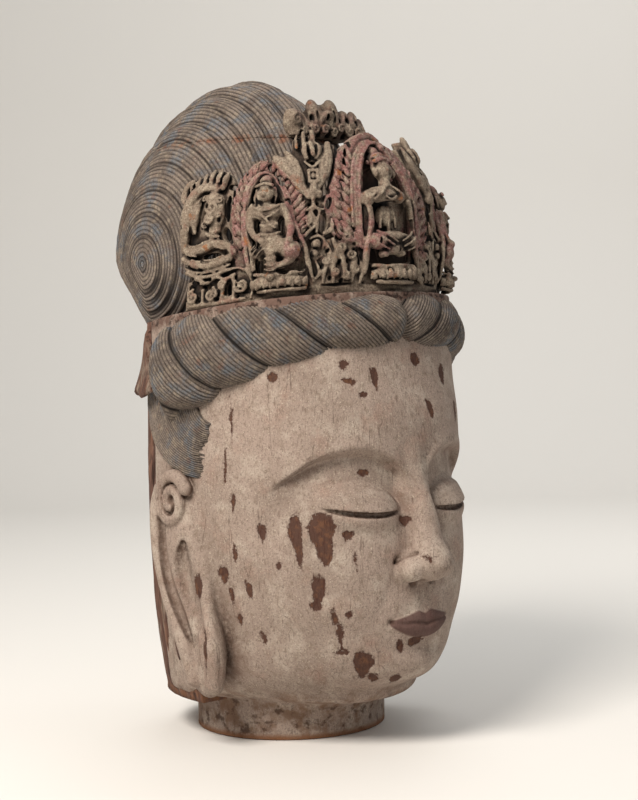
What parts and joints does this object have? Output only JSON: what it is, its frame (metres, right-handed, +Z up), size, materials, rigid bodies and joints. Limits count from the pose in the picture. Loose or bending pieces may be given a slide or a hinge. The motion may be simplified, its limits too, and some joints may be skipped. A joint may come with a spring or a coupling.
{
  "type": "bodhisattva head sculpture",
  "caption": "Carved and painted wooden head with a twisted hair roll, openwork figured crown and tall looped topknot, flat below the neck.",
  "frame": {"origin": "centre of the neck's flat underside", "axes": "+Z up, the face looks along -Y, +X is the figure's left"},
  "size_m": [0.3566, 0.444, 0.6939],
  "materials": {
    "gesso_skin": "worn gesso and paint over carved wood, matt",
    "crown_paint": "worn pink and grey paint over carved wood, dirt in the recesses",
    "hair_paint": "worn grey and blue paint over finely carved strands"
  },
  "bodies": {
    "root": {"head": "gesso_skin", "crown": "crown_paint", "topknot": "hair_paint", "topknot_cap": "hair_paint"}
  },
  "joints": []
}
